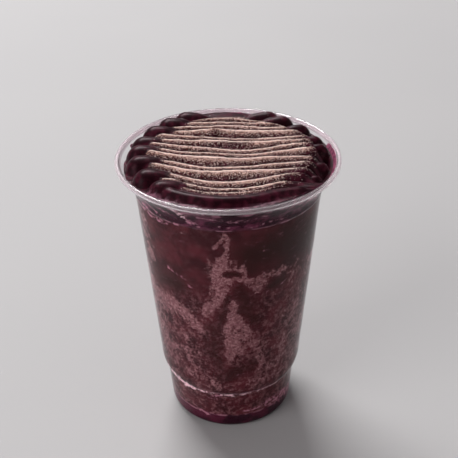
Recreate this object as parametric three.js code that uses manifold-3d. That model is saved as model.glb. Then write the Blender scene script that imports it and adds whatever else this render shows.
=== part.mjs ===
// A cup of acai soft serve: a clear, thin-walled plastic cup with a rolled rim, a flared mouth
// and a stepped foot, filled to the rim with one mass of dark frozen acai. On top the acai is
// piped to and fro, so its surface lies in soft folds that end in fat rounded turns.
// Millimetres, +Z up. The origin is the middle of the cup's underside, and the folds run along X.
import * as THREE from "three";
import { mergeVertices } from "three/addons/utils/BufferGeometryUtils.js";
import Module from "manifold-3d";

const wasm = await Module();
wasm.setup();

// --- The cup ---------------------------------------------------------------------------------
const CUP_HEIGHT = 134.6;
const RIM_RADIUS = 49;
const WALL = 0.6;
const FLOOR = 0.9;
const BEAD = { width: 2, height: 2.5 };
const FLARE_TOP = { radius: 46.9, height: 132.1 };
const FLARE_LOW = { radius: 41.8, height: 121.4 };
const FLARE_POWER = 1.6;
const BODY_TOP = { radius: 41.25, height: 120.4 };
const BODY_LOW = { radius: 34.4, height: 33 };
const SHOULDER = { radius: 31.9, height: 23.4 };
const FOOT = { radius: 30.3, fillet: 2.9 };
const ROUND_SEGMENTS = 56;
const CURVE_STEPS = 4;
const FLARE_STEPS = 5;

// --- The acai --------------------------------------------------------------------------------
const WALL_GAP = 0.3;
const MOUTH_RADIUS = 45.9;
const HEADROOM = 12;
const BODY_LEVEL = CUP_HEIGHT - 9;

// The crests of the piped passes, by their places along Y in the middle of the cup, back to front.
const PASS_Y = [38, 33.6, 30.4, 25.6, 20.8, 12.4, 9.6, 1.6, -3.4, -6.8, -15, -19, -27, -32.8, -36.4, -39.6];
// The turns at the two sides, by their places along Y: each joins two passes.
const LEFT_TURN_Y = [36.5, 30, 21.5, 10.5, 2, -8, -20, -30];
const RIGHT_TURN_Y = [37, 32, 23, 11, 3.5, -10, -20, -30, -33.5];
const LEFT_TURN = { reach: 44.8, nose: 6.5, tail: 15, across: 6.3, depth: 8, top: 2.9 };
const RIGHT_TURN = { reach: 44.8, nose: 6, tail: 14, across: 5.6, depth: 7.5, top: 2.4 };
const RIGHT_TURN_SCALE = { back: 1, front: 0.5 };
const TURN_SIDES = 12;
const TURN_RINGS = 8;
const TURN_SPREAD = 2;
const TURN_BLEND = { from: 6, to: 42 };

const CREST_LEVEL = 1;
const CREST_RISE_AT_TURNS = 1.1;
const CREST_UNEVEN = 0.35;
const BOW = { share: 0.1, at: 20 };
const WAVER = { size: 0.55, length: 9, shift: 2.4 };
const SWELL = { x: -10, width: 9, move: 2, firstPass: 4, lastPass: 9 };
const GROOVE = { ratio: 0.42, least: 0.8, most: 3.2, place: 0.78, atWall: 1 };
const EDGE = { from: 33, to: 43.5, left: 6.5, front: 1.6, back: 3 };
const EDGE_RIGHT = { back: 5.5, front: 2.2, from: -18, to: 2 };
const SHEET_HALF_WIDTH = 46.5;
const SHEET_COLUMNS = 26;
const GROOVE_SAMPLES = [0, 0.38, 0.66, GROOVE.place];
const MERGE_DISTANCE = 1e-3;

const COLOURS = { cup: 0xf3eff0, acai: 0x3b1a22 };

// --- Solids ----------------------------------------------------------------------------------
function toSolid(geometry) {
  const bare = geometry.clone();
  bare.deleteAttribute("normal");
  bare.deleteAttribute("uv");
  const merged = mergeVertices(bare, MERGE_DISTANCE);
  const mesh = new wasm.Mesh({
    numProp: 3,
    vertProperties: merged.attributes.position.array,
    triVerts: new Uint32Array(merged.index.array),
  });
  return new wasm.Manifold(mesh);
}

function toGeometry(solid) {
  const mesh = solid.getMesh();
  const positions = new THREE.BufferAttribute(mesh.vertProperties, mesh.numProp);
  const geometry = new THREE.BufferGeometry().setAttribute("position", positions);
  geometry.setIndex(new THREE.BufferAttribute(mesh.triVerts, 1));
  geometry.computeVertexNormals();
  return geometry;
}

// Turns a profile of (radius, height) points about the cup's upright axis.
function revolve(profile) {
  return new THREE.LatheGeometry(profile, ROUND_SEGMENTS).rotateX(Math.PI / 2);
}

// --- Profiles --------------------------------------------------------------------------------
// Points of an elliptic arc about a centre; angles run from the outward direction towards +Z.
function arc(centre, radii, fromDegrees, toDegrees, steps = CURVE_STEPS) {
  return Array.from({ length: steps + 1 }, (_, i) => {
    const angle = THREE.MathUtils.degToRad(fromDegrees + ((toDegrees - fromDegrees) * i) / steps);
    return new THREE.Vector2(
      centre.x + radii.x * Math.cos(angle),
      centre.y + radii.y * Math.sin(angle),
    );
  });
}

function place({ radius, height }) {
  return new THREE.Vector2(radius, height);
}

// The outside of the wall, from the edge of the underside to the foot of the rolled rim.
function outerWall() {
  const filletCentre = new THREE.Vector2(FOOT.radius - FOOT.fillet, FOOT.fillet);
  const fillet = arc(filletCentre, new THREE.Vector2(FOOT.fillet, FOOT.fillet), -90, 0);
  const shoulderSize = new THREE.Vector2(
    BODY_LOW.radius - SHOULDER.radius,
    BODY_LOW.height - SHOULDER.height,
  );
  const shoulderCentre = new THREE.Vector2(SHOULDER.radius, BODY_LOW.height);
  const shoulder = arc(shoulderCentre, shoulderSize, -80, 0);
  return [...fillet, place(SHOULDER), ...shoulder, place(BODY_TOP), ...flare()];
}

// The mouth, which opens faster and faster from a small step up to the rolled rim.
function flare() {
  return Array.from({ length: FLARE_STEPS + 1 }, (_, i) => {
    const up = i / FLARE_STEPS;
    const radius = THREE.MathUtils.lerp(FLARE_LOW.radius, FLARE_TOP.radius, up ** FLARE_POWER);
    const height = THREE.MathUtils.lerp(FLARE_LOW.height, FLARE_TOP.height, up);
    return new THREE.Vector2(radius, height);
  });
}

// A copy of a profile, moved inwards by a distance measured square to it.
function inset(profile, distance) {
  const normalAt = (i) => {
    const along = profile[i + 1].clone().sub(profile[i]).normalize();
    return new THREE.Vector2(-along.y, along.x);
  };
  return profile.map((point, i) => {
    const before = normalAt(Math.max(i - 1, 0));
    const after = normalAt(Math.min(i, profile.length - 2));
    const middle = before.clone().add(after).normalize();
    return point.clone().addScaledVector(middle, distance / middle.dot(before));
  });
}

function cupGeometry() {
  const outer = outerWall();
  const inner = inset(outer, WALL).filter((point) => point.y > FLOOR);
  const beadCentre = new THREE.Vector2(
    RIM_RADIUS - BEAD.width / 2,
    CUP_HEIGHT - BEAD.height / 2,
  );
  const beadSize = new THREE.Vector2(BEAD.width / 2, BEAD.height / 2);
  const bead = arc(beadCentre, beadSize, -80, 200, 2 * CURVE_STEPS);
  const innerFloorEdge = new THREE.Vector2(inner[0].x, FLOOR);
  return revolve([
    new THREE.Vector2(0, 0),
    ...outer,
    ...bead,
    ...inner.reverse(),
    innerFloorEdge,
    new THREE.Vector2(0, FLOOR),
  ]);
}

// The room inside the cup less a thin gap, carried straight up past the rim.
function roomGeometry() {
  const floor = FLOOR + WALL_GAP;
  const wall = inset(outerWall(), WALL + WALL_GAP).filter((point) => point.y > floor);
  return revolve([
    new THREE.Vector2(0, floor),
    new THREE.Vector2(wall[0].x, floor),
    ...wall,
    new THREE.Vector2(MOUTH_RADIUS, CUP_HEIGHT),
    new THREE.Vector2(MOUTH_RADIUS, CUP_HEIGHT + HEADROOM),
    new THREE.Vector2(0, CUP_HEIGHT + HEADROOM),
  ]);
}

// --- The folds -------------------------------------------------------------------------------
const LAST_PASS = PASS_Y.length - 1;

// How far a place along X is into the turns of one side, from 0 to 1.
function intoTurn(x, side) {
  return THREE.MathUtils.smoothstep(side * x, TURN_BLEND.from, TURN_BLEND.to);
}

// Two passes meet at each turn: at the left turn passes 0 and 1, 2 and 3, and so on.
function turnOf(pass, side) {
  const turns = side < 0 ? LEFT_TURN_Y : RIGHT_TURN_Y;
  const index = side < 0 ? Math.floor(pass / 2) : Math.floor((pass + 1) / 2);
  const isBackPass = side < 0 ? pass % 2 === 0 : pass % 2 === 1;
  return turns[index] + (isBackPass ? TURN_SPREAD : -TURN_SPREAD);
}

// The crest of a pass along Y. Passes -1 and LAST_PASS + 1 stand for the wall of the cup.
function crestY(pass, x) {
  if (pass < 0) return SHEET_HALF_WIDTH;
  if (pass > LAST_PASS) return -SHEET_HALF_WIDTH;
  const bowed = PASS_Y[pass] * (1 - BOW.share * (x / BOW.at) ** 2);
  const waver = WAVER.size * Math.sin(x / WAVER.length + WAVER.shift * pass);
  const swells = pass >= SWELL.firstPass && pass <= SWELL.lastPass;
  const swell = swells ? SWELL.move * Math.exp(-(((x - SWELL.x) / SWELL.width) ** 2)) : 0;
  const free = bowed + waver + swell;
  const left = intoTurn(x, -1);
  const right = intoTurn(x, 1);
  return free * (1 - left - right) + turnOf(pass, -1) * left + turnOf(pass, 1) * right;
}

// The height of a crest over the rim.
function crestZ(pass, x) {
  const uneven = CREST_UNEVEN * Math.sin(WAVER.shift * pass * pass + x / WAVER.length);
  const rise = CREST_RISE_AT_TURNS * (intoTurn(x, -1) + intoTurn(x, 1));
  return CREST_LEVEL + uneven + rise;
}

// How deep a fold lies between two crests, from 0 at a crest to 1 in the groove. The face towards
// the front is long, and the one towards the back is short, because the passes lean on each other.
function dip(t) {
  const fromCrest = t < GROOVE.place ? t / GROOVE.place : (1 - t) / (1 - GROOVE.place);
  return 1 - Math.sqrt(Math.max(0, 1 - fromCrest ** 2));
}

// How close a place is to the wall, from 0 to 1.
function nearWall(x, y) {
  return THREE.MathUtils.smoothstep(Math.hypot(x, y), EDGE.from, EDGE.to);
}

// How far the surface falls off towards the wall, which differs from side to side.
function edgeDrop(x, y) {
  const sideways = x ** 2 / Math.max(x ** 2 + y ** 2, 1);
  const backwards = THREE.MathUtils.smoothstep(y, EDGE_RIGHT.from, EDGE_RIGHT.to);
  const right = THREE.MathUtils.lerp(EDGE_RIGHT.front, EDGE_RIGHT.back, backwards);
  const alongX = x < 0 ? EDGE.left : right;
  const alongY = y < 0 ? EDGE.front : EDGE.back;
  return THREE.MathUtils.lerp(alongY, alongX, sideways) * nearWall(x, y);
}

// A point of the folded surface: t runs from the crest of a pass to that of the next in front.
function foldPoint(pass, t, x) {
  const back = crestY(pass, x);
  const front = crestY(pass + 1, x);
  const y = THREE.MathUtils.lerp(back, front, t);
  const { ratio, least, most, atWall } = GROOVE;
  const meetsWall = pass < 0 || pass === LAST_PASS;
  const groove = meetsWall ? atWall : THREE.MathUtils.clamp(ratio * (back - front), least, most);
  const crest = THREE.MathUtils.lerp(crestZ(pass, x), crestZ(pass + 1, x), t);
  const fold = groove * dip(t) * (1 - nearWall(x, y));
  return new THREE.Vector3(x, y, CUP_HEIGHT + crest - fold - edgeDrop(x, y));
}

// A block whose top is the folded surface, with its rows of points on the crests and grooves.
function foldedBlock() {
  const rowsPerFold = GROOVE_SAMPLES.length;
  const folds = PASS_Y.length + 1;
  const rows = folds * rowsPerFold;
  const block = new THREE.BoxGeometry(2, 1, 2, SHEET_COLUMNS, rows, 1);
  const points = block.attributes.position;
  for (let i = 0; i < points.count; i++) {
    const row = Math.round((0.5 - points.getY(i)) * rows);
    const fold = Math.min(Math.floor(row / rowsPerFold), folds - 1);
    const t = row === rows ? 1 : GROOVE_SAMPLES[row % rowsPerFold];
    const point = foldPoint(fold - 1, t, points.getX(i) * SHEET_HALF_WIDTH);
    const isTop = points.getZ(i) > 0;
    points.setXYZ(i, point.x, point.y, isTop ? point.z : BODY_LEVEL - 1);
  }
  return block;
}

// The rounded end where the piping turns back: an egg along X, blunt towards the wall.
function turnGeometry(y, side, size, scale) {
  const egg = new THREE.SphereGeometry(1, TURN_SIDES, TURN_RINGS).rotateX(Math.PI / 2);
  const points = egg.attributes.position;
  for (let i = 0; i < points.count; i++) {
    const outwards = points.getX(i);
    points.setX(i, outwards * (outwards > 0 ? size.nose : size.tail));
  }
  const tip = Math.sqrt(size.reach ** 2 - y ** 2);
  return egg
    .scale(scale, size.across * scale, size.depth)
    .rotateZ(side < 0 ? Math.PI : 0)
    .translate(side * (tip - size.nose * scale), y, CUP_HEIGHT + size.top * scale - size.depth);
}

function turnGeometries() {
  const left = LEFT_TURN_Y.map((y) => turnGeometry(y, -1, LEFT_TURN, 1));
  const right = RIGHT_TURN_Y.map((y, i) => {
    const forwards = i / (RIGHT_TURN_Y.length - 1);
    const { back, front } = RIGHT_TURN_SCALE;
    return turnGeometry(y, 1, RIGHT_TURN, THREE.MathUtils.lerp(back, front, forwards));
  });
  return [...left, ...right];
}

// One mass: the body of the filling with the folds and turns on it, all inside the cup's room.
function acaiGeometry() {
  const body = new THREE.CylinderGeometry(RIM_RADIUS, RIM_RADIUS, BODY_LEVEL, ROUND_SEGMENTS)
    .rotateX(Math.PI / 2)
    .translate(0, 0, BODY_LEVEL / 2);
  const pieces = [foldedBlock(), ...turnGeometries()].map(toSolid);
  const heap = pieces.reduce((sum, piece) => sum.add(piece), toSolid(body));
  return toGeometry(heap.intersect(toSolid(roomGeometry())));
}

// --- Assembly --------------------------------------------------------------------------------
function named(name, geometry, material) {
  const mesh = new THREE.Mesh(geometry, material);
  mesh.name = name;
  return mesh;
}

const clearPlastic = new THREE.MeshStandardMaterial({
  color: COLOURS.cup,
  roughness: 0.08,
  metalness: 0,
  transparent: true,
  opacity: 0.3,
});
const frozenAcai = new THREE.MeshStandardMaterial({
  color: COLOURS.acai,
  roughness: 0.5,
  metalness: 0,
});

const acaiCup = new THREE.Group();
acaiCup.add(named("cup", cupGeometry(), clearPlastic));
acaiCup.add(named("acai", acaiGeometry(), frozenAcai));

export default acaiCup;
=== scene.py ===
"""A clear plastic cup, filled to the rim with dark frozen acai that is piped in soft folds and
dusted with pale powder. Lengths are in millimetres until a mesh is made, which is in metres."""

import itertools
import math

import bpy
import numpy as np
from mathutils import Matrix, Vector


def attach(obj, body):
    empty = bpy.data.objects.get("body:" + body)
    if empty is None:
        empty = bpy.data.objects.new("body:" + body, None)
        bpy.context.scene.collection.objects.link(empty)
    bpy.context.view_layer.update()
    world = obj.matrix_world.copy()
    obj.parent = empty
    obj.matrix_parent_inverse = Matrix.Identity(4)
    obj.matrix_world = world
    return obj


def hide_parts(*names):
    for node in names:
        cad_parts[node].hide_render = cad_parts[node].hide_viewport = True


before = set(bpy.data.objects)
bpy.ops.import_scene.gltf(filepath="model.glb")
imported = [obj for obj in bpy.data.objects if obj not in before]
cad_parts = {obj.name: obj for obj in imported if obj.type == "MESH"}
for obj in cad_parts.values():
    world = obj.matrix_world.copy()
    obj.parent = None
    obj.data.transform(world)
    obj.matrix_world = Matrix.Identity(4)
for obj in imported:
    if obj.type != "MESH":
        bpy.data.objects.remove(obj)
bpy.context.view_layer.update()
MM = 0.001
scene = bpy.context.scene

# --- Camera ------------------------------------------------------------------------------------
CUP_HEIGHT = 134.6
IMAGE_PX = 458
FOCAL_PX = 800
SENSOR = 36
CAMERA_PITCH = math.radians(32.23)
CAMERA_ROLL = math.radians(-0.8)
CAMERA_DISTANCE = 381
CAMERA_RISE = 22.1
AIM_BELOW_RIM = 65


def add_camera():
    forward = Vector((0, math.cos(CAMERA_PITCH), -math.sin(CAMERA_PITCH)))
    up = Vector((0, math.sin(CAMERA_PITCH), math.cos(CAMERA_PITCH)))
    right = Vector((1, 0, 0))
    aim = Vector((0, 0, CUP_HEIGHT - AIM_BELOW_RIM))
    place = (aim - forward * CAMERA_DISTANCE + up * CAMERA_RISE) * MM
    turned_right = right * math.cos(CAMERA_ROLL) + up * math.sin(CAMERA_ROLL)
    turned_up = up * math.cos(CAMERA_ROLL) - right * math.sin(CAMERA_ROLL)
    data = bpy.data.cameras.new("camera")
    data.sensor_width = SENSOR
    data.lens = FOCAL_PX * SENSOR / IMAGE_PX
    camera = bpy.data.objects.new("camera", data)
    turn = Matrix((turned_right, turned_up, -forward)).transposed()
    camera.matrix_world = Matrix.Translation(place) @ turn.to_4x4()
    scene.collection.objects.link(camera)
    scene.camera = camera


add_camera()

# --- The cup's measures ------------------------------------------------------------------------
WALL = 0.6
FLOOR = 0.9
FOOT = (30.3, 2.9)
SHOULDER_LOW = (31.9, 23.4)
SHOULDER_TOP = (34.4, 33)
# The shoulder's round starts at this angle and ends at 0, in degrees.
SHOULDER_FROM = -72
BODY_TOP = (41.25, 120.4)
FLARE_LOW = (41.8, 121.4)
FLARE_TOP = (46.9, 132.1)
FLARE_POWER = 1.6
RIM_RADIUS = 49
CURL = {"centre": (47.95, 133.35), "size": (1.05, 1.25), "thickness": 0.5, "ends": (-100, 180)}
# How far each soft bend of the wall reaches from its corner, from the lowest upwards.
BEND = {"foot": 0.7, "shoulder": 0.6, "ledge": 0.35, "flare": 0.35}
BEND_STEPS = 5
INNER_TOP = (RIM_RADIUS - 2.15, CUP_HEIGHT - 1.2)
FLOOR_EDGE = {"rise": 0.05, "inset": 0.5}

# --- The folds' measures -----------------------------------------------------------------------
PASS_Y = (38, 33.6, 30.4, 25.6, 20.8, 12.4, 9.6, 1.6, -3.4, -6.8, -15, -19, -27, -32.8, -36.4, -39.6)
LEFT_TURN_Y = (36.5, 30, 21.5, 10.5, 2, -8, -20, -30)
RIGHT_TURN_Y = (37, 32, 23, 11, 3.5, -10, -20, -30, -33.5)
LEFT_TURN = {"reach": 44.8, "nose": 6.5, "tail": 15, "across": 6.3, "depth": 8, "top": 2.9}
RIGHT_TURN = {"reach": 44.8, "nose": 6, "tail": 14, "across": 5.6, "depth": 7.5, "top": 2.4}
RIGHT_TURN_SCALE = (1, 0.5)
TURN_SPREAD = 2
TURN_BLEND = (6, 42)
CREST_LEVEL = 1
CREST_RISE_AT_TURNS = 1.1
CREST_UNEVEN = 0.35
BOW = (0.1, 20)
WAVER = {"size": 0.55, "length": 9, "shift": 2.4}
WOBBLE = {"size": 7, "by": 0.35, "apart": 40}
SWELL = {"x": -10, "width": 9, "move": 2, "passes": (4, 9)}
GROOVE = {"ratio": 0.42, "least": 0.8, "most": 3.2, "place": 0.78, "at_wall": 1}
EDGE = {"from": 33, "to": 43.5, "left": 6.5, "front": 1.6, "back": 3}
EDGE_RIGHT = {"back": 8.5, "front": 2, "from": -31, "to": -17}
STEEP_RIGHT = {"from": (0.6, 0.9), "in": 3, "out": 0.8}
FRONT_EDGE = {"from": (0.72, 0.95), "in": 6, "out": 3}
FRONT_LIP = {"drop": 2, "share": 0.4}
# The last ribbon runs round the front, from angle to angle in degrees from the front.
RIBBON = {
    "radius": 41.2,
    "turns_out": (24, 52),
    "by": 5,
    "ends": ((-46, -36), (40, 52)),
    "sink": 5,
}
RIBBON_SECTION = {"top": 1.7, "out": (3, 3.4), "in": (2.8, 1.7)}
GROOVE_FADE = {"left": (33, 44), "right": (36, 46.5), "sides": (-12, 12)}
TURN_SINK = {"side": 1, "from": -2, "to": -14, "by": 2.6}
SHEET_HALF_WIDTH = 47.2
LAST_PASS = len(PASS_Y) - 1
# The places across a fold, from its crest to the next one's, closest at the groove.
FOLD_STEPS = (0, 0.04, 0.1, 0.18, 0.27, 0.37, 0.47, 0.57, 0.65, 0.71, 0.75, 0.78, 0.83, 0.89, 0.95)
FAR_BELOW = -30.0
# How softly neighbouring turns, the ribbon and the folds run into each other.
JOIN = {"turns": 0.5, "ribbon": 0.4, "folds": 0.5}


# --- Helpers -----------------------------------------------------------------------------------
def smoothstep(value, low, high):
    t = np.clip((value - low) / (high - low), 0, 1)
    return t * t * (3 - 2 * t)


NOISE_CELLS = 37
NOISE_SPREAD = 1.8
OCTAVES = 3
OCTAVE_SPREAD = 1.4


def noise(points, size, seed):
    """Smooth gradient noise from about -1 to 1 at points (N, 3), with features of that size."""
    slopes = np.random.default_rng(seed).normal(size=(NOISE_CELLS,) * 3 + (3,))
    slopes /= np.linalg.norm(slopes, axis=-1, keepdims=True)
    place = np.asarray(points, float) / size + 0.5
    cell = np.floor(place).astype(int)
    part = place - cell
    ease = part**3 * (part * (part * 6 - 15) + 10)
    total = np.zeros(len(place))
    for corner in itertools.product((0, 1), repeat=3):
        weight = np.prod(np.where(np.array(corner) == 1, ease, 1 - ease), axis=1)
        i, j, k = ((cell + corner) % NOISE_CELLS).T
        total += weight * ((part - corner) * slopes[i, j, k]).sum(axis=1)
    return NOISE_SPREAD * total


def rough_noise(points, size, seed):
    """Noise with finer noise on it, each octave of half the size and half the height."""
    parts = [noise(points, size / 2**i, seed + i) / 2**i for i in range(OCTAVES)]
    return sum(parts) / OCTAVE_SPREAD


def at_plan(x, y):
    return np.stack([x, y, np.zeros_like(x)], axis=-1)


def mesh_object(name, points, faces, smooth=True):
    mesh = bpy.data.meshes.new(name)
    mesh.from_pydata((np.asarray(points) * MM).tolist(), [], [tuple(f) for f in faces])
    mesh.validate()
    mesh.shade_smooth() if smooth else mesh.shade_flat()
    piece = bpy.data.objects.new(name, mesh)
    scene.collection.objects.link(piece)
    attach(piece, "root")
    return piece


def add_mask(piece, name, values):
    layer = piece.data.attributes.new(name, "FLOAT", "POINT")
    layer.data.foreach_set("value", np.asarray(values, np.float32))


def arc(centre, size, start, end, steps):
    angles = np.radians(np.linspace(start, end, steps + 1))
    return np.stack(
        [centre[0] + size[0] * np.cos(angles), centre[1] + size[1] * np.sin(angles)], axis=-1
    )


def rounded(corner_before, corner, corner_after, reach):
    """Points of a soft bend that takes the place of a corner."""
    before, middle, after = map(np.array, (corner_before, corner, corner_after))
    start = middle + (before - middle) / np.linalg.norm(before - middle) * reach
    end = middle + (after - middle) / np.linalg.norm(after - middle) * reach
    t = np.linspace(0, 1, BEND_STEPS + 1)[:, None]
    return (1 - t) ** 2 * start + 2 * t * (1 - t) * middle + t**2 * end


# --- The cup -----------------------------------------------------------------------------------
def outer_wall():
    fillet = FOOT[1]
    shoulder_size = (SHOULDER_TOP[0] - SHOULDER_LOW[0], SHOULDER_TOP[1] - SHOULDER_LOW[1])
    shoulder = arc((SHOULDER_LOW[0], SHOULDER_TOP[1]), shoulder_size, SHOULDER_FROM, 0, 12)
    up = np.linspace(0, 1, 14)
    flare = np.stack(
        [
            FLARE_LOW[0] + (FLARE_TOP[0] - FLARE_LOW[0]) * up**FLARE_POWER,
            FLARE_LOW[1] + (FLARE_TOP[1] - FLARE_LOW[1]) * up,
        ],
        axis=-1,
    )
    return np.concatenate(
        [
            arc((FOOT[0] - fillet, fillet), (fillet, fillet), -90, 0, 10),
            rounded(FOOT, SHOULDER_LOW, shoulder[1], BEND["foot"]),
            shoulder[1:-1],
            rounded(shoulder[-2], SHOULDER_TOP, BODY_TOP, BEND["shoulder"]),
            rounded(SHOULDER_TOP, BODY_TOP, FLARE_LOW, BEND["ledge"]),
            rounded(BODY_TOP, FLARE_LOW, flare[1], BEND["flare"]),
            flare[1:],
        ]
    )


def inset(profile, distance):
    along = np.gradient(profile, axis=0)
    along /= np.linalg.norm(along, axis=1)[:, None]
    return profile + distance * np.stack([-along[:, 1], along[:, 0]], axis=-1)


OUTER = outer_wall()
INNER = inset(OUTER, WALL)
INNER = INNER[INNER[:, 1] > FLOOR + FLOOR_EDGE["rise"]]


def wall_radius(height):
    """The inside of the wall at a height."""
    profile = np.concatenate([INNER, [INNER_TOP]])
    return np.interp(height, profile[:, 1], profile[:, 0])


CUP_SEGMENTS = 224
RIM_FROM = 132.2


def revolve(name, profile, segments):
    """A closed solid of revolution whose profile starts and ends on the axis."""
    angles = np.linspace(0, 2 * np.pi, segments, endpoint=False)
    ring = profile[1:-1]
    count = len(ring)
    points = np.zeros((segments, count, 3))
    points[..., 0] = np.cos(angles)[:, None] * ring[:, 0]
    points[..., 1] = np.sin(angles)[:, None] * ring[:, 0]
    points[..., 2] = ring[:, 1]
    points = points.reshape(-1, 3)
    first, last = len(points), len(points) + 1
    ends = [(0, 0, profile[0][1]), (0, 0, profile[-1][1])]
    faces = []
    for i in range(segments):
        here, there = i * count, ((i + 1) % segments) * count
        faces += [(here + k, there + k, there + k + 1, here + k + 1) for k in range(count - 1)]
        faces.append((first, there, here))
        faces.append((last, here + count - 1, there + count - 1))
    return mesh_object(name, np.concatenate([points, ends]), faces)


def add_cup():
    centre, size, thick = CURL["centre"], CURL["size"], CURL["thickness"]
    hollow = (size[0] - thick, size[1] - thick)
    low, high = CURL["ends"]
    curl_inside = arc(centre, hollow, high, low, 16)
    curl_outside = arc(centre, size, low, high, 22)
    profile = np.concatenate(
        [
            [(0, 0)],
            OUTER,
            curl_inside,
            curl_outside,
            INNER[::-1],
            [(INNER[0][0] - FLOOR_EDGE["inset"], FLOOR)],
            [(0, FLOOR)],
        ]
    )
    cup = revolve("clear_cup", profile, CUP_SEGMENTS)
    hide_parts("cup")
    return cup


# --- The folded top ----------------------------------------------------------------------------
def into_turn(x, side):
    return smoothstep(side * x, *TURN_BLEND)


def turn_of(index, side):
    turns = LEFT_TURN_Y if side < 0 else RIGHT_TURN_Y
    turn = index // 2 if side < 0 else (index + 1) // 2
    is_back_pass = index % 2 == (0 if side < 0 else 1)
    return turns[turn] + (TURN_SPREAD if is_back_pass else -TURN_SPREAD)


def crest_y(index, x):
    if index < 0:
        return np.full_like(x, SHEET_HALF_WIDTH)
    if index > LAST_PASS:
        return np.full_like(x, -SHEET_HALF_WIDTH)
    free = PASS_Y[index] * (1 - BOW[0] * (x / BOW[1]) ** 2)
    free = free + WAVER["size"] * np.sin(x / WAVER["length"] + WAVER["shift"] * index)
    if SWELL["passes"][0] <= index <= SWELL["passes"][1]:
        free = free + SWELL["move"] * np.exp(-(((x - SWELL["x"]) / SWELL["width"]) ** 2))
    left, right = into_turn(x, -1), into_turn(x, 1)
    place = free * (1 - left - right) + turn_of(index, -1) * left + turn_of(index, 1) * right
    row = np.full_like(x, float(WOBBLE["apart"]) * index)
    return place + WOBBLE["by"] * noise(np.stack([x, row, 0 * x], -1), WOBBLE["size"], 11)


def crest_z(index, x):
    uneven = CREST_UNEVEN * np.sin(WAVER["shift"] * index**2 + x / WAVER["length"])
    rise = CREST_RISE_AT_TURNS * (into_turn(x, -1) + into_turn(x, 1))
    return CREST_LEVEL + uneven + rise


def dip(t):
    from_crest = np.where(t < GROOVE["place"], t / GROOVE["place"], (1 - t) / (1 - GROOVE["place"]))
    return 1 - np.sqrt(np.maximum(0, 1 - from_crest**2))


def near_wall(x, y):
    radius = np.hypot(x, y)
    front = smoothstep(-y / np.maximum(radius, 1), *FRONT_EDGE["from"])
    right = smoothstep(x / np.maximum(radius, 1), *STEEP_RIGHT["from"])
    low = EDGE["from"] + FRONT_EDGE["in"] * front + STEEP_RIGHT["in"] * right
    high = EDGE["to"] + FRONT_EDGE["out"] * front + STEEP_RIGHT["out"] * right
    return smoothstep(radius, low, high)


def groove_left(x, y):
    """How much of a groove's depth is left towards the wall."""
    radius = np.hypot(x, y)
    left = smoothstep(radius, *GROOVE_FADE["left"])
    right = smoothstep(radius, *GROOVE_FADE["right"])
    side = smoothstep(x, *GROOVE_FADE["sides"])
    return 1 - left * (1 - side) - right * side


def edge_drop(x, y):
    sideways = x**2 / np.maximum(x**2 + y**2, 1)
    backwards = smoothstep(y, EDGE_RIGHT["from"], EDGE_RIGHT["to"])
    right = EDGE_RIGHT["front"] + (EDGE_RIGHT["back"] - EDGE_RIGHT["front"]) * backwards
    along_x = np.where(x < 0, EDGE["left"], right)
    along_y = np.where(y < 0, EDGE["front"], EDGE["back"])
    return along_y + (along_x - along_y) * sideways


def turns():
    """The turns as (middle along Y, side, measures, scale)."""
    for y in LEFT_TURN_Y:
        yield y, -1, LEFT_TURN, 1
    for i, y in enumerate(RIGHT_TURN_Y):
        forwards = i / (len(RIGHT_TURN_Y) - 1)
        scale = RIGHT_TURN_SCALE[0] + (RIGHT_TURN_SCALE[1] - RIGHT_TURN_SCALE[0]) * forwards
        yield y, 1, RIGHT_TURN, scale


def turn_height(x, y):
    """The height over the rim of the rounded turns, or far below it where there is none."""
    height = np.full_like(x, FAR_BELOW)
    for middle_y, side, size, scale in turns():
        tip = math.sqrt(size["reach"] ** 2 - middle_y**2)
        middle_x = side * (tip - size["nose"] * scale)
        top = size["top"] * scale
        if side == TURN_SINK["side"]:
            top -= TURN_SINK["by"] * smoothstep(-middle_y, -TURN_SINK["from"], -TURN_SINK["to"])
        along = (x - middle_x) * side
        along = along / np.where(along > 0, size["nose"], size["tail"]) / scale
        across = (y - middle_y) / size["across"] / scale
        inside = np.maximum(0, 1 - along**2 - across**2)
        egg = top - size["depth"] + size["depth"] * np.sqrt(inside)
        height = np.where(inside > 0, soft_max(height, egg, JOIN["turns"]), height)
    return height


def ribbon_height(x, y):
    """The height over the rim of the last ribbon."""
    angle = np.degrees(np.arctan2(x, -y))
    line = RIBBON["radius"] + RIBBON["by"] * smoothstep(angle, *RIBBON["turns_out"])
    across = np.hypot(x, y) - line
    width_out, depth_out = RIBBON_SECTION["out"]
    width_in, depth_in = RIBBON_SECTION["in"]
    share = across / np.where(across > 0, width_out, width_in)
    depth = np.where(across > 0, depth_out, depth_in)
    (left_end, left_full), (right_full, right_end) = RIBBON["ends"]
    fade = 1 - smoothstep(angle, left_end, left_full) + smoothstep(angle, right_full, right_end)
    height = RIBBON_SECTION["top"] - depth * (1 - np.sqrt(np.maximum(0, 1 - share**2)))
    height = height - RIBBON["sink"] * fade
    return np.where(np.abs(share) < 1, height, FAR_BELOW)


def soft_max(a, b, blend):
    mix = np.clip(0.5 + 0.5 * (a - b) / blend, 0, 1)
    return b + (a - b) * mix + blend * mix * (1 - mix)


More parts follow.
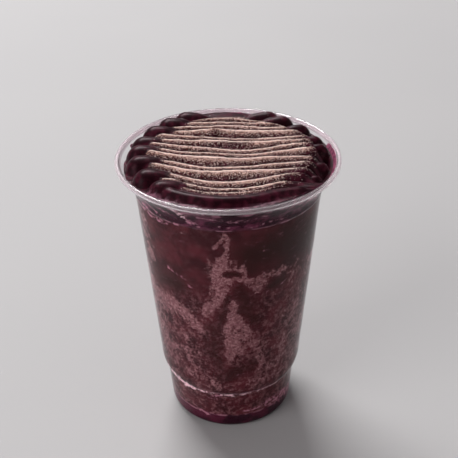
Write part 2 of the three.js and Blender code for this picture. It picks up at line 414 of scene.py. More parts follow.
def fold_rows(x):
    """Rows of points over the columns x: their Y, height over the rim, and place in the fold."""
    rows = []
    for index in range(-1, LAST_PASS + 1):
        back, front = crest_y(index, x), crest_y(index + 1, x)
        gap = back - front
        deep = np.clip(GROOVE["ratio"] * gap, GROOVE["least"], GROOVE["most"])
        if index < 0 or index == LAST_PASS:
            deep = np.full_like(x, GROOVE["at_wall"])
        for t in FOLD_STEPS:
            y = back + (front - back) * t
            crest = crest_z(index, x) * (1 - t) + crest_z(index + 1, x) * t
            near = near_wall(x, y)
            fall = deep * dip(t) * groove_left(x, y) + edge_drop(x, y) * near
            if index == LAST_PASS:
                lip = FRONT_LIP["drop"] * min(1, t / FRONT_LIP["share"])
                fall = np.maximum(lip, edge_drop(x, y) * near)
            rows.append((y, crest - fall, np.full_like(x, t)))
    y = crest_y(LAST_PASS + 1, x)
    near = near_wall(x, y)
    rows.append((y, crest_z(LAST_PASS + 1, x) - edge_drop(x, y) * near, np.zeros_like(x)))
    return [np.array(part) for part in zip(*rows)]


# A small knob where a fold has broken: middle, half sizes and height.
KNOB = ((-5.5, 20), (3.2, 1.8), 1.3)
# Lumps on the folds: coarse and fine as (height, size), smoother from radius to radius.
LUMPS = {"coarse": (0.24, 5), "fine": (0.08, 1.3), "calm": (34, 40), "calm_by": 0.75}
LUMPS_ON_TURNS = 0.6
TOP_COLUMNS = 236
INTO_WALL = 0.2


def top_surface():
    columns = np.linspace(-SHEET_HALF_WIDTH, SHEET_HALF_WIDTH, TOP_COLUMNS)
    y, z, t = fold_rows(columns)
    x = np.broadcast_to(columns, y.shape)
    flat = at_plan(x.ravel(), y.ravel())
    (coarse, coarse_size), (fine, fine_size) = LUMPS["coarse"], LUMPS["fine"]
    lump = coarse * rough_noise(flat, coarse_size, 3) + fine * rough_noise(flat, fine_size, 5)
    lump = lump.reshape(x.shape)
    lump = lump * (1 - LUMPS["calm_by"] * smoothstep(np.hypot(x, y), *LUMPS["calm"]))
    (mx, my), (sx, sy), rise = KNOB
    lump = lump + rise * np.exp(-(((x - mx) / sx) ** 2) - ((y - my) / sy) ** 2)
    turned = soft_max(turn_height(x, y), ribbon_height(x, y), JOIN["ribbon"])
    z = soft_max(z + lump, turned + LUMPS_ON_TURNS * lump, JOIN["folds"])
    return x, y, z + CUP_HEIGHT, t, turned


# The top's height at the wall is the mean of the points nearest to it in each sector.
WALL_SECTORS = 240
NEAREST = 4


def top_height_at(angle):
    """The height of the top where it meets the wall, at angles about the axis."""
    x, y, z, _, _ = TOP
    gap = np.abs(np.hypot(x, y) - wall_radius(z)).ravel()
    height = z.ravel()
    sector = ((np.arctan2(y, x).ravel() / np.pi + 1) * WALL_SECTORS / 2).astype(int) % WALL_SECTORS
    level = []
    for k in range(WALL_SECTORS):
        inside = np.nonzero(sector == k)[0]
        nearest = inside[np.argsort(gap[inside])[:NEAREST]]
        level.append(height[nearest].mean())
    middle = (np.arange(WALL_SECTORS) + 0.5) / WALL_SECTORS * 2 * np.pi - np.pi
    return np.interp(angle, middle, level, period=2 * np.pi)


def add_top():
    x, y, z, t, turned = TOP
    rows, columns = x.shape
    radius = np.hypot(x, y)
    limit = wall_radius(z) + INTO_WALL
    outside = radius > limit
    pull = np.where(outside, limit / radius, 1)
    points = np.stack([x * pull, y * pull, z], axis=-1).reshape(-1, 3)
    keep = ~outside
    faces = []
    used = np.zeros(rows * columns, bool)
    for i in range(rows - 1):
        any_in = keep[i, :-1] | keep[i, 1:] | keep[i + 1, :-1] | keep[i + 1, 1:]
        for j in np.nonzero(any_in)[0]:
            a = i * columns + j
            face = (a, a + columns, a + columns + 1, a + 1)
            faces.append(face)
            used[list(face)] = True
    new_index = np.cumsum(used) - 1
    faces = [tuple(new_index[list(face)]) for face in faces]
    piece = mesh_object("acai_top", points[used], faces)
    bare = smoothstep(turned - (z - CUP_HEIGHT), *BARE_TURNS)
    cover = powder_cover(x, y, t, bare)
    add_mask(piece, "powder", cover.ravel()[used])
    add_mask(piece, "crest", crest_highlight(x, y, t, bare).ravel()[used])
    add_mask(piece, "crease", brown_patch_and_crease_shade(x, y, t).ravel()[used])
    front = smoothstep(-y / np.maximum(radius, 1), *LIP["front"])
    front = front * (1 - smoothstep(x, *LIP["right_end"]))
    add_mask(piece, "lip", (front * smoothstep(radius, *LIP["radius"])).ravel()[used])
    return piece, add_grains(points.reshape(rows, columns, 3), cover * keep)


# The pink smear by the wall at the front: shares of the way forwards, X and radius.
LIP = {"front": (0.55, 0.75), "right_end": (12, 24), "radius": (44.3, 45.3)}
# The turns are bare of powder where they stand over the folds by this much.
BARE_TURNS = (-0.9, 0.2)
POWDER = {"size": (37.5, 40), "soft": 0.2, "on_face": (0.12, 0.75), "patchy": (0.95, 0.15)}
# Places with less powder: middle, half sizes and how much is missing.
THIN_POWDER = (((0, 8), (12, 3), 0.4), ((29, -21), (9, 10), 0.5), ((-27, -25), (6, 4), 0.3))


# The places across a fold where the painted shade of the crease sets in, and where it fades out
# again.
CREASE = ((0.12, 0.68), (0.82, 0.95))


def soft_spot(x, y, middle, half_sizes):
    """A round spot, full in its middle and soft at its edge."""
    away = np.hypot((x - middle[0]) / half_sizes[0], (y - middle[1]) / half_sizes[1])
    return 1 - smoothstep(away, 0.5, 1.2)


def powder_cover(x, y, t, bare):
    """How thick the powder lies, from 0 to 1; down each fold's face it thins, which also paints
    shade towards the crease.
    """
    reach = np.hypot(x / POWDER["size"][0], y / POWDER["size"][1])
    flat = at_plan(x.ravel(), y.ravel())
    ragged = (0.06 * rough_noise(flat, 6, 21)).reshape(x.shape)
    region = 1 - smoothstep(reach + ragged, 1 - POWDER["soft"], 1 + POWDER["soft"] / 2)
    for middle, half_sizes, missing in THIN_POWDER:
        region = region * (1 - missing * soft_spot(x, y, middle, half_sizes))
    # Down each fold's face the powder thins: partly thinner powder on the steep face, partly painted
    # shade towards the crease.
    face_from, less = POWDER["on_face"]
    thin_and_shaded_face = 1 - less * smoothstep(t, face_from, GROOVE["place"])
    level, swing = POWDER["patchy"]
    patchy = level + swing * noise(flat, 6, 23).reshape(x.shape)
    return np.clip(region * thin_and_shaded_face * patchy * (1 - bare), 0, 1)


def brown_patch_and_crease_shade(x, y, t):
    """How brown the powder is painted: painted shade deep on the face of a fold towards its crease,
    and the brown patch's own colour.
    """
    patch = soft_spot(x, y, *THIN_POWDER[0][:2])
    into, out_of = CREASE
    return np.maximum(smoothstep(t, *into) * (1 - smoothstep(t, *out_of)), patch)


def crest_highlight(x, y, t, bare):
    """How near a place is to the crest of a fold, where the powder lies full and is painted palest
    as a highlight.
    """
    near = np.maximum(1.2 - t / 0.11, (t - 0.9) / 0.1)
    reach = np.hypot(x / POWDER["size"][0], y / POWDER["size"][1])
    return np.clip(near, 0, 1) * (1 - smoothstep(reach, 0.85, 1.05)) * (1 - bare)


GRAIN = {"count": 24000, "size": (0.08, 0.21), "flat": 0.7, "uneven": (0.6, 1.2), "least": 0.08}
OCTAHEDRON = ((1, 0, 0), (-1, 0, 0), (0, 1, 0), (0, -1, 0), (0, 0, 1), (0, 0, -1))
OCTAHEDRON_FACES = (
    (0, 2, 4), (2, 1, 4), (1, 3, 4), (3, 0, 4), (2, 0, 5), (1, 2, 5), (3, 1, 5), (0, 3, 5)
)


def add_grains(points, cover):
    """Grains of powder on the cells of the top, more of them where the powder lies thick."""
    rng = np.random.default_rng(77)
    a, b = points[:-1, :-1], points[:-1, 1:]
    c, d = points[1:, :-1], points[1:, 1:]
    area = np.linalg.norm(np.cross(b - a, c - a), axis=-1)
    weight = (area * np.clip(cover[:-1, :-1] - GRAIN["least"], 0, 1)).ravel()
    cells = rng.choice(weight.size, GRAIN["count"], p=weight / weight.sum())
    i, j = np.unravel_index(cells, area.shape)
    u, v = rng.random((2, GRAIN["count"], 1))
    place = (1 - u) * (1 - v) * a[i, j] + u * (1 - v) * b[i, j]
    place = place + (1 - u) * v * c[i, j] + u * v * d[i, j]
    size = rng.uniform(*GRAIN["size"], (GRAIN["count"], 1, 1))
    shape = np.array(OCTAHEDRON) * rng.uniform(*GRAIN["uneven"], (GRAIN["count"], 6, 1))
    turn = rng.normal(size=(GRAIN["count"], 4))
    turn /= np.linalg.norm(turn, axis=1, keepdims=True)
    w, axis = turn[:, :1, None], turn[:, None, 1:]
    cross = np.cross(np.broadcast_to(axis, shape.shape), shape)
    shape = shape + 2 * (w * cross + np.cross(np.broadcast_to(axis, shape.shape), cross))
    corners = place[:, None] + shape * size * (1, 1, GRAIN["flat"])
    faces = np.array(OCTAHEDRON_FACES)[None] + 6 * np.arange(GRAIN["count"])[:, None, None]
    piece = mesh_object(
        "powder_grains", corners.reshape(-1, 3), faces.reshape(-1, 3).tolist(), smooth=False
    )
    add_mask(piece, "tone", np.repeat(rng.random(GRAIN["count"]), 6))
    return piece


TOP = top_surface()

# --- The filling seen through the wall ---------------------------------------------------------
BODY_SEGMENTS = 480
BODY_ROW = 0.7
# The wall marks' edges waver by coarse and fine noise, as (amount, size).
WARP = {"fine": (1.1, 4), "coarse": (2, 13), "up": 0.8, "roll": 90}
OVER_TOP = 0.2
# Marks on the front of the wall, placed after the photo. Each is its strength and its line, as
# degrees from the front, height and half width.
FROST_STROKES = (
    (1.0, ((-4, 120, 0.5), (-2, 114.5, 1.2), (-3, 107, 2), (-4, 102, 5))),
    (0.9, ((-4, 118.5, 0.5), (-7, 114.5, 0.8), (-10, 111.5, 0.8))),
    (1.0, ((-8, 100, 5), (2, 101, 6.5), (7, 100, 3))),
    (0.9, ((-5, 97, 4.5), (-9, 85, 3.5), (-15, 76, 2.4))),
    (0.9, ((2, 95, 3), (12, 93.5, 3), (25, 95, 3.4), (37, 95.5, 2.8), (48, 95, 2.8), (76, 89, 3))),
    (0.62, ((5, 92, 6), (22, 90, 7), (42, 91, 7), (64, 88, 8))),
    (1.0, ((-84, 84, 5), (-60, 73, 5), (-41, 75, 4.6), (-28, 70, 4), (-18, 62, 2.6))),
    (1.0, ((4, 83, 1.4), (3, 74, 4.8), (1, 64, 7.4), (1, 56, 6), (0, 48, 1.8))),
    (0.8, ((12, 66, 2.2), (16, 56, 2.6), (20, 49, 3), (24, 40, 3.2))),
    (0.6, ((-70, 116, 7), (-62, 96, 8))),
    (0.6, ((-70, 62, 10), (-52, 44, 10))),
    (0.55, ((-36, 60, 6), (-30, 38, 6))),
    (0.55, ((56, 74, 9), (40, 40, 9))),
    (0.5, ((62, 36, 8), (18, 30, 6))),
    (0.5, ((-24, 36, 5), (-8, 30, 4))),
)
DARK_STROKES = (
    (1.2, ((-1, 97.6, 1.2), (5, 97.2, 1.6))),
    (1.0, ((-50, 86, 4.6), (-37, 88, 5.2))),
    (1.0, ((26, 88.4, 2), (36, 88, 2.4))),
    (1.3, ((12, 108, 6), (34, 108, 9), (58, 105, 9))),
    (0.9, ((6, 90, 2.4), (12, 80, 3.4), (14, 70, 2))),
    (0.9, ((-2, 86, 1.4), (-4, 79, 1.8), (-9, 70, 1.8))),
    (0.8, ((-13, 68, 2.4), (-12, 52, 3.4), (-6, 42, 2.4))),
    (0.8, ((18, 44, 2), (8, 40, 4), (-2, 36, 3))),
)
PINK_STROKES = (
    (0.7, ((-45, 94.5, 0.5), (-33, 93.5, 0.6), (-27, 88.5, 0.6))),
    (0.6, ((25, 86, 0.5), (31, 85.7, 0.6), (38, 87.8, 0.4))),
    (1.0, ((-82, 119, 0.8), (-65, 119.6, 1), (-53, 119.2, 0.8), (-38, 119, 0.5))),
    (0.9, ((-76, 127, 0.6), (-60, 122.6, 0.9), (-44, 120.6, 0.6), (-30, 120.4, 0.5))),
    (0.8, ((-66, 130, 0.6), (-52, 126.4, 0.8), (-43, 122.8, 0.5))),
    (0.8, ((-48, 130, 0.6), (-40, 127.4, 0.7), (-34, 126, 0.4))),
    (1.0, ((-32, 130.4, 1.2), (-26, 127.4, 2), (-22, 123.6, 1), (-18, 122, 0.5))),
    (0.8, ((-18, 127, 0.5), (0, 125.4, 0.7), (22, 126.4, 0.5))),
    (0.7, ((-8, 122.4, 0.4), (16, 122, 0.6), (34, 123.4, 0.5))),
    (0.9, ((-22, 130.5, 1), (-7, 129.4, 1))),
    (0.9, ((8, 130.4, 0.9), (25, 131, 1), (36, 130, 1.3))),
    (1.3, ((36, 131, 1.8), (47, 128.5, 2.2), (60, 125, 1))),
    (0.9, ((10, 11.2, 0.6), (27, 10.6, 0.7))),
    (0.9, ((-33, 8.9, 0.7), (-24, 8.3, 0.8))),
    (0.8, ((-16, 20.3, 1.3), (-3, 21.3, 1.3))),
    (1.0, ((30, 12, 2), (50, 10, 3.4), (72, 7, 3.4))),
)
# Pale strokes: a smear under the flare, and the shoulder's frost line brightened as a painted
# highlight of the plastic's corner.
PALE_STROKES_AND_HIGHLIGHT = (
    (0.8, ((-30, 129.6, 1), (-27, 127.4, 1.5), (-24, 124.6, 0.9))),
    (1.7, ((-84, 24, 1.6), (-60, 24.2, 2.4), (-46, 23.6, 2.2), (-34, 23.2, 1.4))),
    (1.2, ((-30, 23, 0.9), (-16, 22.8, 0.9))),
    (1.1, ((-8, 22.6, 0.9), (6, 22.6, 0.9))),
    (1.3, ((9, 22.8, 0.8), (15, 23, 1))),
    (1.0, ((22, 23, 0.9), (60, 23.4, 0.8))),
)


def stroke_mask(angle, height, radius, strokes):
    """The strength at places on the wall of strokes, which halves at their half width."""
    total = np.zeros_like(height)
    for strength, line in strokes:
        for (turn_a, z_a, width_a), (turn_b, z_b, width_b) in zip(line, line[1:]):
            away = (angle - math.radians(turn_a) + np.pi) % (2 * np.pi) - np.pi
            along, up = away * radius, height - z_a
            run, rise = math.radians(turn_b - turn_a) * radius, z_b - z_a
            share = np.clip((along * run + up * rise) / (run**2 + rise**2), 0, 1)
            distance = np.hypot(along - run * share, up - rise * share)
            width = width_a + (width_b - width_a) * share
            total = np.maximum(total, strength * (1 - 0.5 * distance / width))
    return total


# Where the seeded marks start: on the part of the wall that the photo doesn't show.
HIDDEN = {"degrees": (80, 272), "height": (34, 116), "shelf": (78, 250)}


def seeded_strokes(count, seed, widths, strengths):
    """Strokes of the same kind for the sides and the back, which the photo doesn't show."""
    rng = np.random.default_rng(seed)
    strokes = []
    for _ in range(count):
        degrees, height = rng.uniform(*HIDDEN["degrees"]), rng.uniform(*HIDDEN["height"])
        line = [(degrees, height, rng.uniform(*widths))]
        for _ in range(2):
            degrees, height = degrees + rng.uniform(-14, 14), height + rng.uniform(-9, 9)
            line.append((degrees, height, rng.uniform(*widths)))
        strokes.append((rng.uniform(*strengths), line))
    return tuple(strokes)


def seeded_shelf(count, seed):
    """Pale lines along the shoulder, frost with a painted highlight, for the sides and the back,
    which the photo doesn't show.
    """
    rng = np.random.default_rng(seed)
    starts = np.linspace(*HIDDEN["shelf"], count) + rng.uniform(-6, 6, count)
    return tuple(
        (rng.uniform(0.5, 1), ((start, 23.3, 0.5), (start + rng.uniform(4, 16), 23.1, 0.9)))
        for start in starts
    )


def add_body():
    angles = np.linspace(-np.pi, np.pi, BODY_SEGMENTS, endpoint=False)
    tops = top_height_at(angles)
    rows = int((CUP_HEIGHT - FLOOR) / BODY_ROW)
    share = np.linspace(0, 1, rows)[:, None]
    height = FLOOR + (tops[None] + OVER_TOP - FLOOR) * share
    radius = wall_radius(height) + INTO_WALL
    angle = np.broadcast_to(angles, height.shape)
    points = np.stack(
        [radius * np.cos(angle), radius * np.sin(angle), height], axis=-1
    ).reshape(-1, 3)
    from_front = angle + np.pi / 2
    (fine, fine_size), (coarse, coarse_size) = WARP["fine"], WARP["coarse"]
    warp = fine * rough_noise(points, fine_size, 41) + coarse * noise(points, coarse_size, 45)
    warp = warp.reshape(height.shape)
    upward = WARP["up"] * np.roll(warp, WARP["roll"], axis=1)
    place = (from_front + warp / radius, height + upward, radius)
    frost = stroke_mask(*place, FROST_STROKES + seeded_strokes(22, 5, (2, 8), (0.5, 1))).ravel()
    dark = stroke_mask(*place, DARK_STROKES + seeded_strokes(8, 8, (4, 9), (0.6, 1))).ravel()
    pink = stroke_mask(*place, PINK_STROKES + seeded_strokes(9, 12, (0.5, 1), (0.4, 0.8))).ravel()
    base = len(points)
    points = np.concatenate([points, [(0, 0, FLOOR)]])
    faces = []
    for i in range(rows - 1):
        a = i * BODY_SEGMENTS
        faces += [
            (a + j, a + (j + 1) % BODY_SEGMENTS, a + BODY_SEGMENTS + (j + 1) % BODY_SEGMENTS,
             a + BODY_SEGMENTS + j)
            for j in range(BODY_SEGMENTS)
        ]
    faces += [((j + 1) % BODY_SEGMENTS, j, base) for j in range(BODY_SEGMENTS)]
    piece = mesh_object("acai_body", points, faces)
    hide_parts("acai")
    shelf = PALE_STROKES_AND_HIGHLIGHT + seeded_shelf(9, 31)
    shelf = stroke_mask(from_front, height, radius, shelf).ravel()
    masks = (("frost", frost * (1 - dark)), ("dark", dark), ("pink", pink), ("shelf", shelf))
    for name, mask in masks:
        add_mask(piece, name, np.append(mask, 0))
    return piece


# --- Smears on the clear part of the wall ------------------------------------------------------
SMEAR = {
    "segments": 2000,
    "step": 0.16,
    "thickness": 0.12,
    "top": 133.2,
    "torn": (0.3, 2.4),
    "below": 0.3,
}
# The smears over the filling, placed roughly.
SMEAR_STROKES = (
    (1.1, ((60, 130.5, 1.2), (76, 130.5, 2), (92, 131.5, 1.8), (104, 132, 1))),
    (1.0, ((84, 126, 0.7), (104, 128, 0.8))),
    (1.1, ((158, 131, 0.7), (172, 132, 1), (190, 131.5, 0.7))),
    (0.9, ((-72, 129.5, 0.7), (-60, 131, 0.9))),
    (0.9, ((-120, 130, 0.6), (-108, 131.5, 0.7))),
    (0.9, ((205, 130, 0.6), (222, 131, 0.8))),
)


def add_smears():
    """Thin films of acai that are left on the wall above the filling."""
    angles = np.linspace(-np.pi, np.pi, SMEAR["segments"], endpoint=False)
    level = top_height_at(angles)
    heights = np.arange(level.min(), SMEAR["top"], SMEAR["step"])[:, None]
    angle = np.broadcast_to(angles, (len(heights), len(angles)))
    height = np.broadcast_to(heights, angle.shape)
    radius = wall_radius(height) + SMEAR["thickness"] / 2
    points = np.stack([radius * np.cos(angle), radius * np.sin(angle), height], axis=-1)
    torn_by, torn_size = SMEAR["torn"]
    torn = rough_noise(points.reshape(-1, 3), torn_size, 61).reshape(height.shape)
    film = stroke_mask(angle + np.pi / 2, height, radius, SMEAR_STROKES)
    keep = (film + torn_by * torn > 0.5) & (height > level - SMEAR["below"])
    inner = points.copy()
    inner[..., :2] *= (1 - SMEAR["thickness"] / radius)[..., None]
    rows, columns = height.shape
    both = np.concatenate([points.reshape(-1, 3), inner.reshape(-1, 3)])
    shift = rows * columns
    solid = keep[:-1] & keep[1:] & np.roll(keep[:-1], -1, 1) & np.roll(keep[1:], -1, 1)
    faces = []
    for i, j in zip(*np.nonzero(solid)):
        k = (j + 1) % columns
        a, b, c, d = i * columns + j, i * columns + k, (i + 1) * columns + k, (i + 1) * columns + j
        faces += [(a, b, c, d), (a + shift, d + shift, c + shift, b + shift)]
        sides = (
            (i == 0 or not solid[i - 1, j], a, b),
            (i == rows - 2 or not solid[i + 1, j], c, d),
            (not solid[i, j - 1], d, a),
            (not solid[i, k], b, c),
        )
        faces += [(p, p + shift, q + shift, q) for edge, p, q in sides if edge]
    used = np.unique(np.array([corner for face in faces for corner in face]))
    new_index = np.full(len(both), -1)
    new_index[used] = np.arange(len(used))
    piece = mesh_object("acai_smears", both[used], [tuple(new_index[list(f)]) for f in faces])
    return piece


# --- Materials ---------------------------------------------------------------------------------
def srgb(*channels):
    """A colour given as it shows, from 0 to 255, in the renderer's own numbers."""
    shares = [c / 255 for c in channels]
    linear = [s / 12.92 if s <= 0.04045 else ((s + 0.055) / 1.055) ** 2.4 for s in shares]
    return (*linear, 1)


# The share of a ring's half width that is at full strength.
RING_CORE = 0.4


class Nodes:
    """A short way to write a node material."""

    def __init__(self, name):
        self.material = bpy.data.materials.new(name)
        self.material.use_nodes = True
        self.tree = self.material.node_tree
        self.tree.nodes.clear()
        self.output = self.tree.nodes.new("ShaderNodeOutputMaterial")

    def node(self, kind, **settings):
        node = self.tree.nodes.new("ShaderNode" + kind)
        for key, value in settings.items():
            setattr(node, key, value)
        return node

    def set(self, socket, value):
        if isinstance(value, bpy.types.NodeSocket):
            self.tree.links.new(value, socket)
        else:
            socket.default_value = value

    def maths(self, operation, *values):
        node = self.node("Math", operation=operation)
        for socket, value in zip(node.inputs, values):
            self.set(socket, value)
        return node.outputs[0]

    def plus(self, a, b):
        return self.maths("ADD", a, b)

    def minus(self, a, b):
        return self.maths("SUBTRACT", a, b)

    def times(self, a, b):
        return self.maths("MULTIPLY", a, b)

    def larger(self, a, b):
        return self.maths("MAXIMUM", a, b)

    def step(self, value, low, high):
        node = self.node("MapRange", interpolation_type="SMOOTHSTEP")
        for name, number in (("Value", value), ("From Min", low), ("From Max", high)):
            self.set(node.inputs[name], number)
        return node.outputs["Result"]

    def mix(self, factor, a, b):
        node = self.node("Mix", data_type="RGBA")
        self.set(node.inputs["Factor"], factor)
        self.set(node.inputs[6], a)
        self.set(node.inputs[7], b)
        return node.outputs[2]

    def blend(self, factor, a, b):
        node = self.node("Mix", data_type="FLOAT")
        self.set(node.inputs["Factor"], factor)
        self.set(node.inputs[2], a)
        self.set(node.inputs[3], b)
        return node.outputs[0]

    def mask(self, name):
        return self.node("Attribute", attribute_name=name).outputs["Fac"]

    def place(self):
        return self.node("TexCoord").outputs["Object"]

    def noise(self, size_mm, detail=2, roughness=0.5, stretch=None):
        node = self.node("TexNoise")
        place = self.place()
        if stretch:
            scaled = self.node("Mapping")
            self.set(scaled.inputs["Vector"], place)
            scaled.inputs["Scale"].default_value = stretch
            place = scaled.outputs[0]
        self.set(node.inputs["Vector"], place)
        node.inputs["Scale"].default_value = 1000 / size_mm
        node.inputs["Detail"].default_value = detail
        node.inputs["Roughness"].default_value = roughness
        return node.outputs["Fac"]

    def axis(self, name):
        """A place's coordinate in millimetres."""
        split = self.node("SeparateXYZ")
        self.set(split.inputs[0], self.place())
        return self.times(split.outputs[name], 1 / MM)

    def ring(self, height, level, half_width):
        """A soft line round the wall at a level."""
        away = self.maths("ABSOLUTE", self.minus(height, level))
        return self.step(away, half_width, half_width * RING_CORE)

    def patches(self, size_mm, low, high, **settings):
        """Noise as soft patches: none below low and full above high."""
        return self.step(self.noise(size_mm, **settings), low, high)

    def ragged(self, size_mm, **settings):
        """Noise round nought."""
        return self.minus(self.noise(size_mm, **settings), 0.5)

    def cells(self, size_mm):
        node = self.node("TexVoronoi")
        self.set(node.inputs["Vector"], self.place())
        node.inputs["Scale"].default_value = 1000 / size_mm
        return node.outputs["Distance"]

    def bump(self, height, distance_mm, strength):
        node = self.node("Bump")
        self.set(node.inputs["Height"], height)
        node.inputs["Distance"].default_value = distance_mm * MM
        node.inputs["Strength"].default_value = strength
        return node.outputs[0]

    def principled(self, **values):
        node = self.node("BsdfPrincipled")
        for name, value in values.items():
            self.set(node.inputs[name.replace("_", " ")], value)
        return node.outputs[0]

    def finish(self, shader):
        self.set(self.output.inputs["Surface"], shader)
        return self.material


# Light that crosses the thin wall to reach the filling keeps this much of each colour.
WALL_LETS_THROUGH = (0.92, 0.91, 0.92, 1)
WALL_PLASTIC = {
    "colour": (0.97, 0.96, 0.97, 1),
    "roughness": 0.05,
    "ior": 1.16,
    "clear": 1.0,
    "wave_mm": 14,
}
RIM_PLASTIC = {
    "colour": (0.88, 0.8, 0.83, 1),
    "roughness": 0.07,
    "ior": 1.34,
    "clear": 0.91,
    "wave_mm": 5,
}


def clear_plastic(name, colour, roughness, ior, clear, wave_mm):
    n = Nodes(name)
    waves = n.bump(n.noise(wave_mm, detail=1), 0.25, 0.35)
    glass = n.principled(
        Base_Color=colour,
        Roughness=roughness,
        IOR=ior,
        Transmission_Weight=clear,
        Normal=waves,
    )
    through = n.node("BsdfTransparent")
    through.inputs["Color"].default_value = WALL_LETS_THROUGH
    mix = n.node("MixShader")
    n.set(mix.inputs[0], n.node("LightPath").outputs["Is Shadow Ray"])
    n.set(mix.inputs[1], glass)
    n.set(mix.inputs[2], through.outputs[0])
    return n.finish(mix.outputs[0])


ACAI_DARK = srgb(30, 6, 13)
ACAI_RED = srgb(62, 19, 32)
POWDER_PALE = srgb(252, 226, 216)
POWDER_TAN = srgb(182, 143, 130)
POWDER_BROWN = srgb(74, 40, 36)
LIP_PINK = srgb(150, 104, 122)
WET_SHINE = (1, 0.7, 0.78, 1)


def top_acai():
    n = Nodes("piped_acai")
    dark = n.mix(n.patches(3, 0.4, 0.7, detail=4), ACAI_DARK, ACAI_RED)
    cover = n.larger(n.mask("powder"), n.mask("crest"))
    level = n.noise(0.55, detail=3, roughness=0.65)
    threshold = n.minus(0.72, n.times(cover, 0.34))
    powder = n.step(level, n.minus(threshold, 0.05), n.plus(threshold, 0.05))
    # The crease mask browns the speckle: painted shade towards each crease, and the brown patch.
    crease_shade_and_patch = n.times(n.mask("crease"), 0.26)
    speckle = n.minus(n.noise(0.9, detail=4, roughness=0.6), crease_shade_and_patch)
    tan = n.mix(n.step(speckle, 0.4, 0.56), POWDER_BROWN, POWDER_TAN)
    # The crests are painted palest, a painted highlight over the powder.
    powder_and_crest_highlight = n.mix(n.mask("crest"), tan, POWDER_PALE)
    colour = n.mix(powder, dark, powder_and_crest_highlight)
    smear = n.patches(2.5, 0.38, 0.58, detail=5, roughness=0.7)
    smear = n.times(n.times(n.mask("lip"), smear), 0.6)
    colour = n.mix(smear, colour, LIP_PINK)
    return n.finish(
        n.principled(
            Base_Color=colour,
            Roughness=n.blend(n.step(cover, 0.1, 0.5), 0.34, 0.9),
            Normal=n.bump(n.times(level, cover), 0.25, 0.6),
            IOR=1.3,
            Specular_IOR_Level=0.15,
            Specular_Tint=WET_SHINE,
        )
    )


def powder():
    n = Nodes("pale_powder")
    colour = n.mix(n.step(n.mask("tone"), 0.25, 0.7), POWDER_BROWN, POWDER_PALE)
    return n.finish(n.principled(Base_Color=colour, Roughness=0.85, IOR=1.3))


WALL_DARK = srgb(52, 15, 21)
WALL_RED = srgb(84, 30, 38)
WALL_BROWN = srgb(48, 20, 20)
# The collar's dark plum is painted shade where the filling stands back from the flared wall; the
# foot's patches use it too.
PLUM_AND_COLLAR_SHADE = srgb(42, 7, 24)
COLLAR_ROSE = srgb(98, 42, 66)
FOOT_PLUM = srgb(76, 22, 43)
FROST = srgb(126, 82, 87)
FROST_PALE = srgb(170, 124, 128)
PINK_SMEAR_AND_HIGHLIGHT = srgb(190, 128, 148)
PALE_LINE_AND_HIGHLIGHT = srgb(240, 200, 208)
PIT = srgb(34, 11, 15)
SMEAR_DARK = srgb(84, 28, 52)
SMEAR_PALE = srgb(150, 82, 108)
TABLE_TONES = (srgb(157, 155, 156), srgb(163, 161, 161))
# Pale pink lines at the wall's steps, frost with a painted highlight where the plastic steps, as
# (height, half width).
LEDGE_LINE = (120.6, 0.5)
SHOULDER_LINE = (24, 1.3)
FOOT_LINE = (8, 0.8)
UNDER_BEAD_LINE = (129.8, 1.1)
# The heights between which the filling's colour changes to the collar's, darkened as painted shade,
# and to the foot's.
COLLAR_FROM = (119.4, 121.4)
FOOT_FROM = (8.4, 7.4)


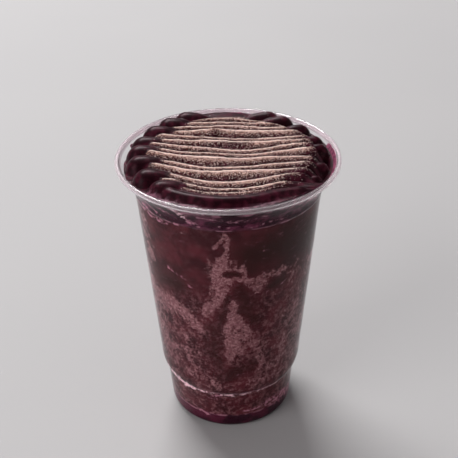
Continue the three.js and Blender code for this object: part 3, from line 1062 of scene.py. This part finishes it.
def wall_acai():
    n = Nodes("acai_at_the_wall")
    height = n.axis("Z")
    wobble = n.times(n.ragged(7, detail=3), 3)
    waved = n.plus(height, wobble)
    fine = n.noise(0.9, detail=5, roughness=0.75)
    torn = n.ragged(5, detail=7, roughness=0.75)
    cloud = n.patches(11, 0.35, 0.68, detail=4, roughness=0.6)
    colour = n.mix(cloud, WALL_DARK, WALL_RED)
    colour = n.mix(n.times(n.mask("dark"), 0.9), colour, WALL_BROWN)
    mottle = n.patches(2.4, 0.47, 0.62, detail=6, roughness=0.75)
    smooth = n.minus(1, n.mask("dark"))
    lower = n.plus(n.times(n.step(height, 98, 66), 0.75), 0.1)
    mottle = n.times(n.times(mottle, smooth), lower)
    colour = n.mix(mottle, colour, FROST)
    frosty = n.plus(n.mask("frost"), n.times(torn, 2))
    stipple = n.noise(1.9, detail=5, roughness=0.75)
    frosty = n.plus(frosty, n.times(n.minus(stipple, 0.5), 1.2))
    frosty = n.step(frosty, 0.4, 0.66)
    holes = n.minus(1, n.times(n.step(stipple, 0.5, 0.38), 0.75))
    frosty = n.times(frosty, holes)
    flecked = n.mix(n.patches(1.1, 0.46, 0.6, detail=3, roughness=0.7), FROST, FROST_PALE)
    colour = n.mix(n.times(frosty, 0.8), colour, flecked)
    pits = n.times(n.step(n.cells(2.8), 0.18, 0.09), n.step(height, 100, 60))
    colour = n.mix(n.times(pits, 0.8), colour, PIT)
    marbled = n.patches(8, 0.46, 0.66, detail=6, roughness=0.65, stretch=(1, 1, 2))
    # Under the flare the filling is painted darker, as shade.
    collar = n.mix(marbled, PLUM_AND_COLLAR_SHADE, COLLAR_ROSE)
    colour = n.mix(n.step(waved, *COLLAR_FROM), colour, collar)
    foot = n.mix(n.patches(9, 0.4, 0.6, detail=2), FOOT_PLUM, PLUM_AND_COLLAR_SHADE)
    colour = n.mix(n.step(waved, *FOOT_FROM), colour, foot)
    # Pale lines at the wall's steps: frost, and a painted highlight where the plastic steps.
    broken = n.patches(7, 0.42, 0.62, detail=5, roughness=0.65)
    lines = n.times(n.ring(height, *SHOULDER_LINE), n.times(broken, 0.6))
    shaken = n.plus(height, n.times(wobble, 0.3))
    for level, half_width in (LEDGE_LINE, FOOT_LINE, UNDER_BEAD_LINE):
        line = n.times(n.ring(shaken, level, half_width), 0.6)
        lines = n.larger(lines, n.times(line, broken))
    strands = n.ragged(6, detail=6, roughness=0.75, stretch=(1, 1, 3))
    pink = n.plus(n.mask("pink"), n.times(strands, 2.4))
    pink = n.minus(pink, n.step(stipple, 0.56, 0.4))
    pink = n.larger(n.step(pink, 0.1, 0.9), lines)
    colour = n.mix(n.times(pink, 0.85), colour, PINK_SMEAR_AND_HIGHLIGHT)
    # The shoulder's pale line is frost, painted brighter as a highlight.
    shelf = n.plus(n.mask("shelf"), n.times(torn, 1.6))
    shelf = n.minus(shelf, n.step(stipple, 0.58, 0.4))
    colour = n.mix(n.step(shelf, 0.16, 0.62), colour, PALE_LINE_AND_HIGHLIGHT)
    return n.finish(
        n.principled(
            Base_Color=colour,
            Roughness=n.blend(frosty, 0.45, 0.8),
            Normal=n.bump(n.times(fine, smooth), 0.2, 0.4),
            IOR=1.3,
            Specular_IOR_Level=0.25,
        )
    )


def thin_smear():
    n = Nodes("thin_acai")
    colour = n.mix(n.patches(1.6, 0.35, 0.65, detail=4), SMEAR_DARK, SMEAR_PALE)
    return n.finish(n.principled(Base_Color=colour, Roughness=0.4, IOR=1.35))


def floor_material():
    n = Nodes("pale_floor")
    tone = n.mix(n.noise(300, detail=2), *TABLE_TONES)
    return n.finish(n.principled(Base_Color=tone, Roughness=0.75))


# --- Putting it together -----------------------------------------------------------------------
def paint(piece, *materials):
    piece.data.materials.clear()
    for material in materials:
        piece.data.materials.append(material)


def paint_cup():
    cup = add_cup()
    paint(
        cup,
        clear_plastic("clear_plastic", **WALL_PLASTIC),
        clear_plastic("clear_rim", **RIM_PLASTIC),
    )
    for face in cup.data.polygons:
        face.material_index = int(face.center.z > RIM_FROM * MM)


TABLE_HALF_WIDTH = 3000
TABLE_GAP = 0.2


def add_floor():
    half = TABLE_HALF_WIDTH
    corners = [(-half, -half, 0), (half, -half, 0), (half, half, 0), (-half, half, 0)]
    mesh = bpy.data.meshes.new("floor")
    mesh.from_pydata([[c * MM for c in corner] for corner in corners], [], [(0, 1, 2, 3)])
    floor = bpy.data.objects.new("floor", mesh)
    scene.collection.objects.link(floor)
    floor.location.z = -TABLE_GAP * MM
    return floor


# Each light's name, place, aim, size, power and colour.
LIGHTS = (
    ("key", (-900, 2250, 2800), (0, 0, 120), (2000, 1200), 186, (1, 1, 1)),
    ("fill", (-1000, -700, 800), (0, 0, 80), (800, 800), 9.5, (1, 1, 1)),
    ("right_fill", (1100, -500, 500), (0, 0, 80), (800, 800), 2, (1, 0.9, 0.88)),
)
# The room's light: a darker tone in front, a paler one behind, by the direction's Y.
ROOM = {"front": (0.38, 0.31, 0.335, 1), "back": (0.95, 0.96, 0.98, 1), "strength": 0.36}
ROOM_TURNS = (-1, 0.7)


def add_area(name, place, aim, size, power, colour):
    data = bpy.data.lights.new(name, "AREA")
    data.shape = "RECTANGLE"
    data.size, data.size_y = (s * MM for s in size)
    data.energy = power
    data.color = colour
    lamp = bpy.data.objects.new(name, data)
    lamp.location = Vector(place) * MM
    towards = (Vector(aim) - Vector(place)).normalized()
    lamp.rotation_euler = towards.to_track_quat("-Z", "Y").to_euler()
    scene.collection.objects.link(lamp)


def light_studio():
    world = bpy.data.worlds.new("studio")
    world.use_nodes = True
    tree = world.node_tree
    background = tree.nodes["Background"]
    background.inputs["Strength"].default_value = ROOM["strength"]
    towards = tree.nodes.new("ShaderNodeTexCoord").outputs["Generated"]
    split = tree.nodes.new("ShaderNodeSeparateXYZ")
    tree.links.new(towards, split.inputs[0])
    ramp = tree.nodes.new("ShaderNodeMapRange")
    ramp.inputs["From Min"].default_value = ROOM_TURNS[0]
    ramp.inputs["From Max"].default_value = ROOM_TURNS[1]
    tree.links.new(split.outputs["Y"], ramp.inputs["Value"])
    mix = tree.nodes.new("ShaderNodeMix")
    mix.data_type = "RGBA"
    mix.inputs[6].default_value = ROOM["front"]
    mix.inputs[7].default_value = ROOM["back"]
    tree.links.new(ramp.outputs["Result"], mix.inputs["Factor"])
    tree.links.new(mix.outputs[2], background.inputs["Color"])
    scene.world = world
    for light in LIGHTS:
        add_area(*light)


scene.view_settings.view_transform = "Standard"
paint_cup()
top, grains = add_top()
paint(top, top_acai())
paint(grains, powder())
paint(add_body(), wall_acai())
paint(add_smears(), thin_smear())
paint(add_floor(), floor_material())
light_studio()
